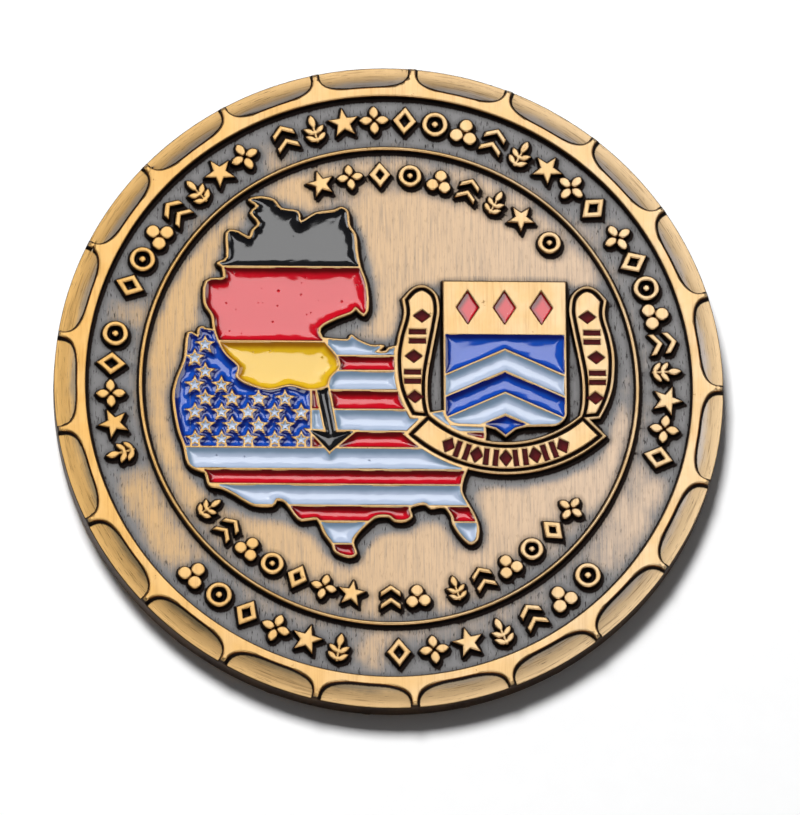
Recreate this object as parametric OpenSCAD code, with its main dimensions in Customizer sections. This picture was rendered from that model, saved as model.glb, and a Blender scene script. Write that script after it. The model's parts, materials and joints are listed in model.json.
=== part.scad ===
// Challenge coin: one die-struck medal with a scooped rim, raised ornament on both
// faces, and a soft enamel fill in each cell of the picture on its front.
// Millimetres. The coin lies on its back on z = 0, with +Z out of its front face
// and +Y towards the top of the picture. The origin is under its centre.

/* [Blank] */
// Outer diameter
coin_d = 44.45; // [44:0.05:47]
// Thickness over the two rims
coin_t = 2.6; // [2.4:0.1:4]
// Width of the raised rim, from the edge to the sunk field
rim_w = 2.07; // [1.9:0.01:2.4]
// Depth of the sunk field below the rim
field_depth = 0.55; // [0.4:0.05:0.7]
// Height of the raised ornament above the field
relief_h = 0.5; // [0.3:0.05:0.65]

/* [Scooped edge] */
// Number of scoops round each face
scoops = 21; // [12:1:28]
// How far each scoop reaches in from the edge
scoop_reach = 1.535; // [1.2:0.005:1.7]
// Depth of each scoop at the edge
scoop_depth = 0.45; // [0.3:0.05:1]
// Radius of the tool that cuts the scoops
scoop_tool_r = 2.6; // [1.4:0.1:3.5]
// Width of the ridge between two scoops at the edge
ridge_w = 0.31; // [0.15:0.01:0.8]
// How far the end of a ridge leans back from the edge
ridge_lean = 0.15; // [0.1:0.01:0.35]
// How square a scoop's outline is, from 2, an ellipse, upwards
scoop_squareness = 3; // [2:0.1:5]
// Angle of the first ridge, clockwise from the top
first_ridge = 4.5; // [0:0.5:17]

/* [Rings and legends] */
// Radius of the thin ring between the two legends, at its middle
ring_r = 16.5; // [16:0.05:17]
// Width of the thin ring
ring_w = 0.23; // [0.15:0.01:0.4]
// Radius of the outer row of ornaments, at their middle
outer_row_r = 18.48; // [18.2:0.01:18.6]
// Height of an ornament in the outer row
outer_row_h = 1.98; // [1.5:0.01:2.1]
// Radius of the inner row of ornaments, at their middle
inner_row_r = 14.67; // [14.5:0.01:15]
// Height of an ornament in the inner row
inner_row_h = 1.78; // [1.2:0.01:1.8]

/* [Enamel] */
// Width of the metal line between two cells
line_w = 0.22; // [0.15:0.01:0.3]
// Thickness of the enamel in a full-depth cell
enamel_t = 0.36; // [0.2:0.01:0.45]
// Depth of the shallow cells in the gold faces of the shield and the banner
mark_depth = 0.26; // [0.1:0.01:0.4]
// How far the enamel stays below the metal in a shallow cell
mark_sink = 0.07; // [0.02:0.01:0.1]

/* [Hidden] */

coin_r = coin_d / 2;
rim_in_r = coin_r - rim_w;
field_z = coin_t - field_depth;
relief_z = field_z + relief_h;
// How far inside the edge a scoop is deepest
scoop_lip = 0.06;
// Height over which the end of a ridge leans back
ridge_end_h = scoop_depth - 0.1;
// Raised shapes start this far inside the blank, so that they join it
root = 0.2;
// The smallest width that a cell keeps: anything thinner is closed up
sliver = 0.04;
// Reach of a cutter past the face or edge that it cuts
over = 1;

BRASS = [0.80, 0.62, 0.36];
BLACK = [0.03, 0.03, 0.04];
RED = [0.78, 0.02, 0.08];
YELLOW = [0.95, 0.75, 0.10];
BLUE = [0.04, 0.16, 0.60];
WHITE = [0.86, 0.90, 0.96];
OXBLOOD = [0.40, 0.03, 0.05];

// Upper map, clockwise from its north-west cape
UPPER_MAP = [
    [-9.2, 12.8], [-8.5, 13.0], [-7.6, 12.8], [-7.1, 12.2], [-6.0, 12.0], [-5.8, 11.3],
    [-4.8, 11.9], [-3.6, 12.1], [-3.1, 12.3], [-2.7, 12.0], [-2.6, 11.1], [-2.2, 10.4],
    [-2.1, 9.3], [-1.9, 8.2], [-1.5, 7.0], [-1.4, 5.5], [-1.6, 4.9], [-1.9, 5.0],
    [-2.2, 5.3], [-2.5, 5.0], [-3.5, 4.6], [-4.6, 3.9], [-4.3, 3.0], [-3.5, 2.0],
    [-3.3, 1.2], [-3.9, 0.5], [-4.2, -0.2], [-5.4, -0.4], [-6.6, -0.1], [-8.0, -0.4],
    [-9.4, 0.0], [-10.1, 0.5], [-10.0, 1.2], [-10.8, 2.0], [-11.3, 2.9], [-11.6, 3.8],
    [-11.7, 4.7], [-12.2, 5.6], [-12.1, 7.1], [-11.1, 7.3], [-10.9, 7.5], [-11.0, 8.1],
    [-11.3, 8.4], [-10.7, 8.8], [-10.7, 10.5], [-10.1, 10.6], [-9.7, 10.4], [-9.2, 10.2],
    [-9.0, 10.7], [-8.6, 11.2], [-9.1, 11.9], [-8.7, 12.4]
];
// Heights of its two colour changes
UPPER_MAP_BANDS = [8.15, 2.95];

// Lower map, clockwise from its west coast
LOWER_MAP = [
    [-14.3, -1.0], [-14.1, 0.2], [-13.8, 1.0], [-13.5, 1.9], [-13.3, 3.5], [-12.7, 3.3],
    [-12.6, 3.8], [-12.3, 3.9], [-11.5, 3.7], [-4.6, 3.2], [-3.4, 3.1], [-2.7, 3.1],
    [-2.5, 3.4], [-2.1, 3.1], [-1.2, 2.7], [-0.4, 2.7], [-0.8, 2.3], [-0.2, 2.3],
    [0.2, 2.6], [1.8, 2.3], [2.0, -1.8], [3.6, -1.8], [6.0, -2.5], [6.3, -3.7],
    [5.8, -4.6], [5.0, -6.0], [4.7, -7.1], [4.9, -7.8], [5.5, -8.9], [5.8, -9.8], [5.7, -10.7],
    [5.2, -10.9], [4.6, -10.3], [4.2, -9.6], [4.1, -9.1], [3.7, -8.5], [3.3, -8.4],
    [2.7, -8.5], [2.2, -8.2], [1.3, -8.5], [1.4, -9.1], [1.0, -9.4], [0.3, -9.4],
    [-0.1, -9.1], [-0.8, -9.1], [-1.3, -9.4], [-2.1, -10.2], [-2.5, -10.9], [-2.3, -11.7],
    [-2.8, -11.9], [-3.6, -11.6], [-3.8, -11.1], [-4.3, -10.4], [-4.6, -9.7],
    [-4.9, -9.3], [-5.5, -9.35], [-6.1, -9.3], [-6.9, -8.2], [-7.5, -8.0], [-7.8, -8.4],
    [-8.9, -8.4], [-9.6, -8.1], [-10.4, -7.6], [-11.2, -7.2], [-11.8, -7.1],
    [-12.0, -6.9], [-12.2, -6.2], [-12.6, -6.0], [-13.3, -5.6], [-13.6, -4.3],
    [-14.0, -3.1]
];
// Heights of the lines between its stripes, from the top down
STRIPE_Y = [5, 2.0, 0.95, -0.4, -1.75, -3.25, -4.4, -5.9, -6.95, -8.4, -9.5, -11.05, -13];
// Right and lower edges of the starred corner
CANTON_X = -5.2;
CANTON_Y = STRIPE_Y[6];
// Rows of stars: height, centre of the first star, number of stars
STAR_ROWS = [
    [-3.85, -12.9, 5], [-2.9, -12.2, 4], [-1.97, -12.9, 5], [-1.03, -12.2, 4],
    [-0.1, -12.9, 2], [0.83, -12.2, 1], [1.77, -12.9, 1], [2.7, -12.2, 1]
];
star_pitch = 1.76;
star_r = 0.72;
star_fill_r = 0.28;

// Arrow from the upper map to the lower one
ARROW = [
    [-4.95, 0], [-4.05, 0], [-3.47, -3.2], [-2.2, -3.2], [-4.0, -4.75],
    [-5.45, -3.15], [-4.32, -3.2]
];

// Shield
shield_x = 7.7;
shield_half_w = 4.1;
shield_top = 7.27;
shield_tip = -3.6;
chief_y = 3.6;
// Heights at which the chevron lines cross the middle of the shield
CHEVRONS = [2.5, 1.0, -0.5, -2.0];
chevron_slope = 0.45;
lozenge = [1.5, 2.3];
// How much wider the metal line round the shield is than half a line
shield_edge = 0.08;

// Banner: its base is an arc about this centre, and its arms are mirrored across the shield
banner_c = [7.7, 3.5];
banner_r = [7.4, 9.65];
banner_half_angle = 44;
BANNER_OUTER_SIDE = [
    [0.88, 6.0], [1.0, 4.95], [0.6, 3.4], [0.4, 2.0], [0.5, 0.2], [0.9, -1.2], [1.5, -2.4]
];
BANNER_INNER_SIDE = [
    [2.9, -2.4], [2.6, -1.2], [2.6, 0.6], [2.9, 2.4], [3.25, 4.2], [3.4, 5.3],
    [3.2, 6.35], [2.4, 6.97], [1.6, 6.78], [0.88, 6.0]
];
// The dark groove just inside the banner's edge: where it starts, and its width
groove_in = 0.2;
groove_w = 0.2;
// Marks on the banner: how many, and their size across and along
base_marks = 9;
base_mark_step = 6.6;
arm_marks = 5;
arm_mark_step = 1.4;
arm_mark_top = 4.8;
mark_h = 1.1;
mark_w = 0.32;

// Groups of ornaments: first angle, last angle, number, all clockwise from the top
OUTER_TOP = [[-108.4, -76, 5], [-71.5, -27.9, 7], [-24.8, 50.9, 12], [52.7, 108.4, 9]];
OUTER_BASE = [[131.4, 182, 7], [187.3, 228.1, 6]];
INNER_TOP = [[-21.6, 41.1, 8], [43.7, 50.4, 1]];
INNER_BASE = [[121.5, 166.6, 6], [169.5, 183.5, 2], [186.5, 238, 7]];
ORNAMENT_KINDS = 7;
// Width of the strokes that the ornaments are drawn with
stroke = 0.36;

// ---- Curves ----

// A point of the smooth curve that runs through p, between p[i] and p[i + 1]
function through(p, i, t) =
    let (
        a = p[max(i - 1, 0)],
        b = p[i],
        c = p[i + 1],
        d = p[min(i + 2, len(p) - 1)]
    )
    0.5 * (2 * b + (c - a) * t + (2 * a - 5 * b + 4 * c - d) * t * t
        + (3 * b - a - 3 * c + d) * t * t * t);

function curve(p, steps = 5) = [
    for (i = [0 : len(p) - 2], k = [0 : steps - 1]) through(p, i, k / steps)
];

// The same for a closed outline
function closed_curve(p, steps = 3) =
    let (n = len(p))
    [
        for (i = [0 : n - 1], k = [0 : steps - 1])
            through([for (j = [-1 : 2]) p[(i + j + n) % n]], 1, k / steps)
    ];

function arc(c, r, from, to, steps) = [
    for (k = [0 : steps])
        let (a = from + (to - from) * k / steps)
            c + r * [cos(a), sin(a)]
];

// ---- Helpers ----

// Turns a shape on the front face into the same shape on the back face
module on_back() {
    translate([0, 0, coin_t]) rotate([0, 180, 0]) children();
}

// A raised shape, from just inside the blank to the height of the ornament
module struck() {
    translate([0, 0, field_z - root]) linear_extrude(relief_h + root) children();
}

// Shrinks an area by half a metal line, and closes up what is too thin to hold enamel
module cell() {
    offset(delta = sliver) offset(delta = -line_w / 2 - sliver) children();
}

// Enamel that fills a full-depth cell
module enamel(tint) {
    color(tint) translate([0, 0, field_z]) linear_extrude(enamel_t) children();
}

// Enamel that fills a shallow cell
module mark_enamel(tint) {
    color(tint)
        translate([0, 0, relief_z - mark_depth])
            linear_extrude(mark_depth - mark_sink) children();
}

module strip(top, bottom) {
    translate([-coin_r, bottom]) square([coin_d, top - bottom]);
}

// ---- Ornaments ----

module star(r, inner = 0.42) {
    polygon([
        for (k = [0 : 9])
            let (a = 90 + 36 * k, q = k % 2 == 0 ? r : r * inner)
                q * [cos(a), sin(a)]
    ]);
}

module diamond(w, h) {
    polygon([[w / 2, 0], [0, h / 2], [-w / 2, 0], [0, -h / 2]]);
}

module chevron(w, rise, thick) {
    polygon([
        [-w / 2, 0], [0, rise], [w / 2, 0], [w / 2, thick], [0, rise + thick], [-w / 2, thick]
    ]);
}

// A pointed leaf, from the origin along +Y
module leaf(length, width) {
    r = (length * length + width * width) / (4 * width);
    intersection() {
        translate([r - width / 2, length / 2]) circle(r, $fn = 96);
        translate([width / 2 - r, length / 2]) circle(r, $fn = 96);
    }
}

module open_diamond(h) {
    difference() {
        diamond(0.8 * h, h);
        diamond(0.8 * h - 2.5 * stroke, h - 3.1 * stroke);
    }
}

module double_chevron(h) {
    for (y = [-0.47 * h, 0.01 * h]) translate([0, y]) chevron(0.74 * h, 0.26 * h, 0.2 * h);
}

module target(h) {
    difference() {
        circle(0.43 * h, $fn = 48);
        circle(0.43 * h - 0.9 * stroke, $fn = 48);
    }
    circle(0.11 * h, $fn = 32);
}

module quatrefoil(h) {
    for (a = [0 : 90 : 270]) rotate(a) translate([0, 0.05 * h]) leaf(0.45 * h, 0.3 * h);
}

module sprig(h) {
    translate([-0.045 * h, -h / 2]) square([0.09 * h, 0.55 * h]);
    leaf(h / 2, 0.24 * h);
    for (y = [-0.46, -0.2], s = [-1, 1])
        translate([0, y * h]) rotate(-52 * s) leaf(0.44 * h, 0.2 * h);
}

module trefoil(h) {
    for (a = [90, 210, 330])
        translate([0.27 * h * cos(a), (0.27 * sin(a) - 0.07) * h]) circle(0.225 * h, $fn = 40);
}

module ornament(kind, h) {
    if (kind == 0) open_diamond(h);
    if (kind == 1) star(0.54 * h);
    if (kind == 2) double_chevron(h);
    if (kind == 3) target(h);
    if (kind == 4) quatrefoil(h);
    if (kind == 5) sprig(h);
    if (kind == 6) trefoil(h);
}

// Ornaments in groups along a row. Those of a base row stand with their tops inwards.
module row(groups, r, h, base, seed) {
    for (g = [0 : len(groups) - 1], i = [0 : groups[g][2] - 1]) {
        q = groups[g];
        a = q[0] + (q[1] - q[0]) * (i + 0.5) / q[2];
        rotate(-a)
            translate([0, r])
                rotate(base ? 180 : 0)
                    ornament((3 * i + 2 * g + seed) % ORNAMENT_KINDS, h);
    }
}

module legends() {
    row(OUTER_TOP, outer_row_r, outer_row_h, false, 5);
    row(OUTER_BASE, outer_row_r, outer_row_h, true, 3);
    row(INNER_TOP, inner_row_r, inner_row_h, false, 1);
    row(INNER_BASE, inner_row_r, inner_row_h, true, 4);
}

module ring_band(r, w) {
    difference() {
        circle(r + w / 2, $fn = 180);
        circle(r - w / 2, $fn = 180);
    }
}

// ---- Maps ----

module upper_map_area() { polygon(closed_curve(UPPER_MAP)); }

module lower_map_area() { polygon(closed_curve(LOWER_MAP)); }

module upper_map_band(top, bottom) {
    intersection() {
        upper_map_area();
        strip(top, bottom);
    }
}

// What lies over the lower map
module over_lower_map() {
    upper_map_area();
    polygon(ARROW);
    shield_area();
    banner_area();
}

module stars(r) {
    for (row = STAR_ROWS, i = [0 : row[2] - 1])
        translate([row[1] + star_pitch * i, row[0]]) star(r, 0.5);
}

module canton_area() {
    difference() {
        intersection() {
            lower_map_area();
            translate([-coin_r, CANTON_Y]) square([coin_r + CANTON_X, coin_r]);
        }
        upper_map_area();
        polygon(ARROW);
    }
}

// The part of stripe i between two values of x that nothing covers
module stripe_area(i, from, to) {
    difference() {
        intersection() {
            lower_map_area();
            strip(STRIPE_Y[i], STRIPE_Y[i + 1]);
            translate([from, -coin_r]) square([to - from, coin_d]);
        }
        translate([-coin_r, CANTON_Y]) square([coin_r + CANTON_X, coin_r]);
        over_lower_map();
    }
}

// Where the arrow's shaft splits the stripes, and where the banner does
arrow_x = -4.1;
banner_x = 2.2;
peninsula_x = 3.2;

module stripe_cell(i) {
    cell() stripe_area(i, i < 6 ? arrow_x : -coin_r, i < 6 ? banner_x : coin_r);
}

module south_stripe_cell() {
    cell() stripe_area(9, -coin_r, peninsula_x);
}

module south_tip_cell(i) {
    cell() stripe_area(i, -coin_r, peninsula_x);
}

module peninsula_cell(i) {
    cell() stripe_area(i, peninsula_x, coin_r);
}

module arrow_gap_cell(i) {
    cell() stripe_area(i, CANTON_X, arrow_x);
}

module coast_gap_cell(i) {
    cell() stripe_area(i, banner_x, coin_r);
}

module canton_blue_cell() {
    difference() {
        cell() canton_area();
        stars(star_r);
    }
}

module star_cells() {
    intersection() {
        stars(star_fill_r);
        cell() canton_area();
    }
}

module arrow_cell() {
    cell() difference() {
        polygon(ARROW);
        upper_map_area();
    }
}

module map_cells() {
    cell() upper_map_band(coin_r, UPPER_MAP_BANDS[0]);
    cell() upper_map_band(UPPER_MAP_BANDS[0], UPPER_MAP_BANDS[1]);
    cell() upper_map_band(UPPER_MAP_BANDS[1], -coin_r);
    arrow_cell();
    canton_blue_cell();
    star_cells();
    for (i = [0 : 8]) stripe_cell(i);
    south_stripe_cell();
    for (i = [10, 11]) south_tip_cell(i);
    for (i = [9, 10]) peninsula_cell(i);
    for (i = [3, 4, 5]) arrow_gap_cell(i);
    for (i = [4, 5]) coast_gap_cell(i);
}

module maps() {
    offset(r = line_w / 2, $fn = 16) {
        upper_map_area();
        lower_map_area();
        polygon(ARROW);
    }
}

// ---- Shield ----

module shield_area() {
    half = concat(
        [[shield_half_w, shield_top]],
        arc([shield_half_w - 1, -1.8], 1, 0, -90, 6),
        [[1.4, -2.85], [0.7, -3.05], [0, shield_tip]]
    );
    for (s = [-1, 1])
        translate([shield_x, 0])
            polygon([for (p = concat([[0, shield_top]], half)) [s * p[0], p[1]]]);
}

// The half plane below the chevron line that crosses the middle of the shield at y
module below_chevron(y) {
    drop = chevron_slope * coin_r;
    translate([shield_x, y])
        polygon([[0, 0], [coin_r, -drop], [coin_r, -coin_d], [-coin_r, -coin_d], [-coin_r, -drop]]);
}

// The shield's field between two chevron lines
module shield_band_cell(upper, lower) {
    cell() difference() {
        intersection() {
            offset(delta = -shield_edge) shield_area();
            strip(chief_y, -coin_r);
            below_chevron(upper);
        }
        below_chevron(lower);
    }
}

module lozenges() {
    for (i = [-1 : 1])
        translate([shield_x + 2.45 * i, (shield_top + chief_y) / 2])
            diamond(lozenge[0], lozenge[1]);
}

module shield_cells() {
    shield_band_cell(coin_r, CHEVRONS[0]);
    shield_band_cell(CHEVRONS[0], CHEVRONS[1]);
    shield_band_cell(CHEVRONS[1], CHEVRONS[2]);
    shield_band_cell(CHEVRONS[2], CHEVRONS[3]);
    shield_band_cell(CHEVRONS[3], -coin_r);
}

// ---- Banner ----

module across_shield() {
    translate([shield_x, 0]) mirror([1, 0]) translate([-shield_x, 0]) children();
}

module banner_arm() {
    polygon(concat(curve(BANNER_OUTER_SIDE), curve(BANNER_INNER_SIDE)));
}

module banner_area() {
    banner_arm();
    across_shield() banner_arm();
    polygon(concat(
        arc(banner_c, banner_r[1], -90 - banner_half_angle, banner_half_angle - 90, 30),
        arc(banner_c, banner_r[0], banner_half_angle - 90, -90 - banner_half_angle, 24)
    ));
}

module banner_groove() {
    difference() {
        offset(delta = -groove_in) banner_area();
        offset(delta = -groove_in - groove_w) banner_area();
    }
}

// Marks alternate between a diamond and a pair of bars
module mark(i) {
    if (i % 2 == 0) diamond(0.85, mark_h);
    else for (s = [-1, 1])
        translate([s * mark_w - mark_w / 2, -mark_h / 2]) square([mark_w, mark_h]);
}

module base_mark_cells() {
    for (i = [0 : base_marks - 1])
        translate(banner_c)
            rotate((i - (base_marks - 1) / 2) * base_mark_step)
                translate([0, -(banner_r[0] + banner_r[1]) / 2])
                    mark(i);
}

// The middle of the arm leans by a little at each mark
module arm_mark_cells() {
    for (i = [0 : arm_marks - 1]) {
        y = arm_mark_top - arm_mark_step * i;
        x = lookup(y, [[-1.2, 1.75], [0.4, 1.55], [2.2, 1.65], [4.8, 2.2]]);
        translate([x, y]) rotate(90) mark(i);
    }
}

// ---- Picture ----

// The raised metal of the whole picture, with its full-depth cells open
module picture() {
    difference() {
        union() {
            maps();
            shield_area();
            banner_area();
        }
        map_cells();
        shield_cells();
    }
}

// The shallow cells and grooves in its gold faces
module picture_marks() {
    lozenges();
    banner_groove();
    base_mark_cells();
    arm_mark_cells();
    across_shield() arm_mark_cells();
}

// ---- Back ----

// Two branches that meet at the bottom, each with its leaves in pairs along it
module wreath() {
    r = 12.4;
    leaves = 11;
    step = 12.5;
    first = 172;
    last = first - step * leaves;
    stem = 0.28;
    for (s = [-1, 1]) {
        for (i = [0 : leaves - 1], side = [-1, 1])
            rotate(s * (first - step * i))
                translate([0, r])
                    rotate(-s * (90 + side * 30))
                        leaf(2.7, 0.95);
        rotate(s * last) translate([0, r]) rotate(-s * 90) leaf(2.4, 0.9);
    }
    polygon(concat(
        arc([0, 0], r + stem / 2, last - 270, 90 - last, 60),
        arc([0, 0], r - stem / 2, 90 - last, last - 270, 60)
    ));
}

module compass() {
    difference() {
        star_points(8, 8.4, 0.42);
        circle(1.9, $fn = 64);
    }
    circle(1.3, $fn = 64);
}

// Points of two lengths in turn
module star_points(n, r, inner) {
    polygon([
        for (k = [0 : 2 * n - 1])
            let (
                a = 90 + 180 / n * k,
                q = k % 2 == 1 ? r * inner : (k % 4 == 0 ? r : 0.72 * r)
            )
                q * [cos(a), sin(a)]
    ]);
}

// A diamond at the middle of each scoop, and a pellet at each ridge
module back_row() {
    for (i = [0 : scoops - 1]) rotate(-first_ridge - 360 / scoops * i) {
        translate([0, outer_row_r]) circle(0.35, $fn = 32);
        rotate(180 / scoops) translate([0, outer_row_r]) diamond(1.5, outer_row_h);
    }
}

// ---- Sub-parts ----

// The blank with its rims and sunk fields. Its two outer corners slope, which leaves the
// ridges between the scoops with ends that lean back.
module blank() {
    rotate_extrude($fn = 240)
        polygon([
            [0, field_depth], [rim_in_r, field_depth], [rim_in_r, 0], [coin_r - ridge_lean, 0],
            [coin_r, ridge_end_h], [coin_r, coin_t - ridge_end_h], [coin_r - ridge_lean, coin_t],
            [rim_in_r, coin_t], [rim_in_r, field_z], [0, field_z]
        ]);
}

// The outline of one scoop, centred on +X: half of a rounded square, bent round the coin
module scoop_window() {
    half = 180 / scoops - asin(ridge_w / coin_d);
    power = 2 / scoop_squareness;
    inner_side = [
        for (t = [-90 : 7.5 : 90])
            let (
                a = half * sign(t) * pow(abs(sin(t)), power),
                r = coin_r - scoop_reach * pow(cos(t), power)
            )
                r * [cos(a), sin(a)]
    ];
    polygon(concat(inner_side, arc([0, 0], coin_r + over, half, -half, 6)));
}

// The tool's path round the edge of the front, cut off between one ridge and the next
module scoop_cuts() {
    intersection() {
        rotate_extrude($fn = 240)
            translate([coin_r - scoop_lip, coin_t - scoop_depth + scoop_tool_r])
                circle(scoop_tool_r, $fn = 96);
        translate([0, 0, coin_t - scoop_depth - over])
            linear_extrude(scoop_depth + 3 * over)
                for (i = [0 : scoops - 1])
                    rotate(90 - first_ridge - 360 / scoops * (i + 0.5)) scoop_window();
    }
}

module coin_body() {
    color(BRASS) difference() {
        union() {
            blank();
            struck() ring_band(ring_r, ring_w);
            struck() legends();
            struck() picture();
            on_back() struck() {
                ring_band(ring_r, ring_w);
                back_row();
                wreath();
                compass();
            }
        }
        scoop_cuts();
        on_back() scoop_cuts();
        translate([0, 0, relief_z - mark_depth]) linear_extrude(over) picture_marks();
    }
}

module upper_map_black() { enamel(BLACK) cell() upper_map_band(coin_r, UPPER_MAP_BANDS[0]); }

module upper_map_red() {
    enamel(RED) cell() upper_map_band(UPPER_MAP_BANDS[0], UPPER_MAP_BANDS[1]);
}

module upper_map_yellow() { enamel(YELLOW) cell() upper_map_band(UPPER_MAP_BANDS[1], -coin_r); }

module arrow_black() { enamel(BLACK) arrow_cell(); }

module canton_blue() { enamel(BLUE) canton_blue_cell(); }

module canton_stars() { enamel(WHITE) star_cells(); }

module stripe_01_white() { enamel(WHITE) stripe_cell(0); }

module stripe_02_red() { enamel(RED) stripe_cell(1); }

module stripe_03_white() { enamel(WHITE) stripe_cell(2); }

module stripe_04_red() { enamel(RED) stripe_cell(3); }

module stripe_05_white() { enamel(WHITE) stripe_cell(4); }

module stripe_06_red() { enamel(RED) stripe_cell(5); }

module stripe_07_white() { enamel(WHITE) stripe_cell(6); }

module stripe_08_red() { enamel(RED) stripe_cell(7); }

module stripe_09_white() { enamel(WHITE) stripe_cell(8); }

module stripe_10_red() { enamel(RED) south_stripe_cell(); }

module south_tip_white() { enamel(WHITE) south_tip_cell(10); }

module south_tip_red() { enamel(RED) south_tip_cell(11); }

module peninsula_red() { enamel(RED) peninsula_cell(9); }

module peninsula_white() { enamel(WHITE) peninsula_cell(10); }

module arrow_gap_white() { enamel(WHITE) arrow_gap_cell(4); }

module arrow_gap_reds() { enamel(RED) for (i = [3, 5]) arrow_gap_cell(i); }

module coast_gap_white() { enamel(WHITE) coast_gap_cell(4); }

module coast_gap_red() { enamel(RED) coast_gap_cell(5); }

module shield_lozenges() { mark_enamel(RED) lozenges(); }

module shield_upper_blue() { enamel(BLUE) shield_band_cell(coin_r, CHEVRONS[0]); }

module shield_upper_white() { enamel(WHITE) shield_band_cell(CHEVRONS[0], CHEVRONS[1]); }

module shield_middle_blue() { enamel(BLUE) shield_band_cell(CHEVRONS[1], CHEVRONS[2]); }

module shield_lower_whites() { enamel(WHITE) shield_band_cell(CHEVRONS[2], CHEVRONS[3]); }

module shield_base_blue() { enamel(BLUE) shield_band_cell(CHEVRONS[3], -coin_r); }

module banner_left_marks() { mark_enamel(OXBLOOD) arm_mark_cells(); }

module banner_base_marks() { mark_enamel(OXBLOOD) base_mark_cells(); }

module banner_right_marks() { mark_enamel(OXBLOOD) across_shield() arm_mark_cells(); }

coin_body();
upper_map_black();
upper_map_red();
upper_map_yellow();
arrow_black();
canton_blue();
canton_stars();
stripe_01_white();
stripe_02_red();
stripe_03_white();
stripe_04_red();
stripe_05_white();
stripe_06_red();
stripe_07_white();
stripe_08_red();
stripe_09_white();
stripe_10_red();
south_tip_white();
south_tip_red();
peninsula_red();
peninsula_white();
arrow_gap_white();
arrow_gap_reds();
coast_gap_white();
coast_gap_red();
shield_lozenges();
shield_upper_blue();
shield_upper_white();
shield_middle_blue();
shield_lower_whites();
shield_base_blue();
banner_left_marks();
banner_base_marks();
banner_right_marks();
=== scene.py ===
"""The looks of the challenge coin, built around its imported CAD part.

Blender works in metres. Lengths in this script are in millimetres and are turned into metres
where a mesh, a light or the camera is made.
"""
import json
import math

import bpy
import numpy as np
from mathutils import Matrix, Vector
from mathutils.geometry import delaunay_2d_cdt


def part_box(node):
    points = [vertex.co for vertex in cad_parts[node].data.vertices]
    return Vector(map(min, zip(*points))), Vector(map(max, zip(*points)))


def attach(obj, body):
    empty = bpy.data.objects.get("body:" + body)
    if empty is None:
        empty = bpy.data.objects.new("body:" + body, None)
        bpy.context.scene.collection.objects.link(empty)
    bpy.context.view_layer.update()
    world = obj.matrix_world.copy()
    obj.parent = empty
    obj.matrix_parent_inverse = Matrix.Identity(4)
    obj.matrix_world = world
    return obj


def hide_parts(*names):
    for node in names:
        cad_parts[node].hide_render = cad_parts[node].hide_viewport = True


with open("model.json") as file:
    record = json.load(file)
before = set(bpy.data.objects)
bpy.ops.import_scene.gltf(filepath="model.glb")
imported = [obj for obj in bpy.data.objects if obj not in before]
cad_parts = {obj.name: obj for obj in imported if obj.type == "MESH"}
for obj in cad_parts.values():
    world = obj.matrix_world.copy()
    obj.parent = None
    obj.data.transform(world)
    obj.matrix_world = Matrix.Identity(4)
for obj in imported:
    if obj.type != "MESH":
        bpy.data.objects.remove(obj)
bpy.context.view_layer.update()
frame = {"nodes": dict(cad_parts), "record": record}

MM = 0.001

# Two heights or two radii closer than this are the same
FLAT = 0.001

# ---- Sizes taken from the frame ----

COIN_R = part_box("coin_body")[1][0] / MM
COIN_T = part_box("coin_body")[1][2] / MM
FIELD_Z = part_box("upper_map_red")[0][2] / MM
MARK_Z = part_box("shield_lozenges")[0][2] / MM
FIELD_DEPTH = COIN_T - FIELD_Z
MARK_DEPTH = COIN_T - MARK_Z

# ---- Struck walls: rounded at the top, leaning a little, with a small fillet at the foot ----

# The drop for each millimetre across, and how far inside its outline a wall starts to drop
WALL_SLOPE = 8.0
WALL_IN = 0.1
TOP_R = 0.12
FOOT_R = 0.045

# The roll of the coin's outer edge, and the share of it that is left after striking
EDGE_R = 0.09
EDGE_SOFTNESS = 0.6

# ---- Patina round what is raised, with painted shadow on its south-east side and painted shade on the ground among the ornaments ----

# How far to the north-west a distance to a wall is read: it draws dark colour out to the south-east of
# what is raised, as painted shadow on the brass and painted shade in the enamel
SHADE_OFFSET = (0.11, -0.15)
# How much is raised round a point, blurred and shifted to the south-east: it greys the ground among the
# ornaments as painted shade
CROWD_BLUR = 0.75
CROWD_SHIFT = (0.2, -0.3)

# The distances from an outline that the metal's material tells apart
INSIDE_SPAN = (-0.8, 0.3)

# ---- Rim and scoops ----

# The tool that cuts the scoops: its radius, the place of its centre, and the depth it reaches
SCOOP_TOOL_R = 2.6
SCOOP_CENTRE_R = COIN_R - 0.06
SCOOP_DEPTH = 0.45

# How far the ridges between the scoops come down at the coin's edge, and how late
RIDGE_FALL = 0.08
RIDGE_END = 0.35
RIDGE_CURVE = 1.6

# The rim's inner and outer radius at the middle of a scoop, and a radius inside of the rim and
# outside of all ornament
RIM_IN_R = 20.155
RIM_OUT_R = 20.69
BETWEEN_R = 19.8

# ---- Grids, contours and meshes ----

COIN_PITCH = 0.04
COIN_MARGIN = 0.3
POOL_PITCH = 0.03
POOL_MARGIN = 0.4

# How far from an outline distances are worked out
REACH = 1.2
MARK_REACH = 0.3

# The distances inside an outline at which a mesh has lines of points
WALL_LEVELS = [0.1, 0.065, 0.032, 0.008, -0.016, -0.06, -0.105, -0.22, -0.5]
POOL_LEVELS = [-0.05, -0.01, 0.05, 0.12, 0.2, 0.3, 0.42, 0.6, 0.85]
SIMPLIFY = 0.004
POOL_SPAN = 9

# Points round the coin's edge, on rings this far inside it, and on rings across the scoops
EDGE_POINTS = 1008
EDGE_RINGS = (0.03, EDGE_R, 0.18, 0.3)
SCOOP_RING_PITCH = 0.16
SIDE_ROWS = 8

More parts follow.
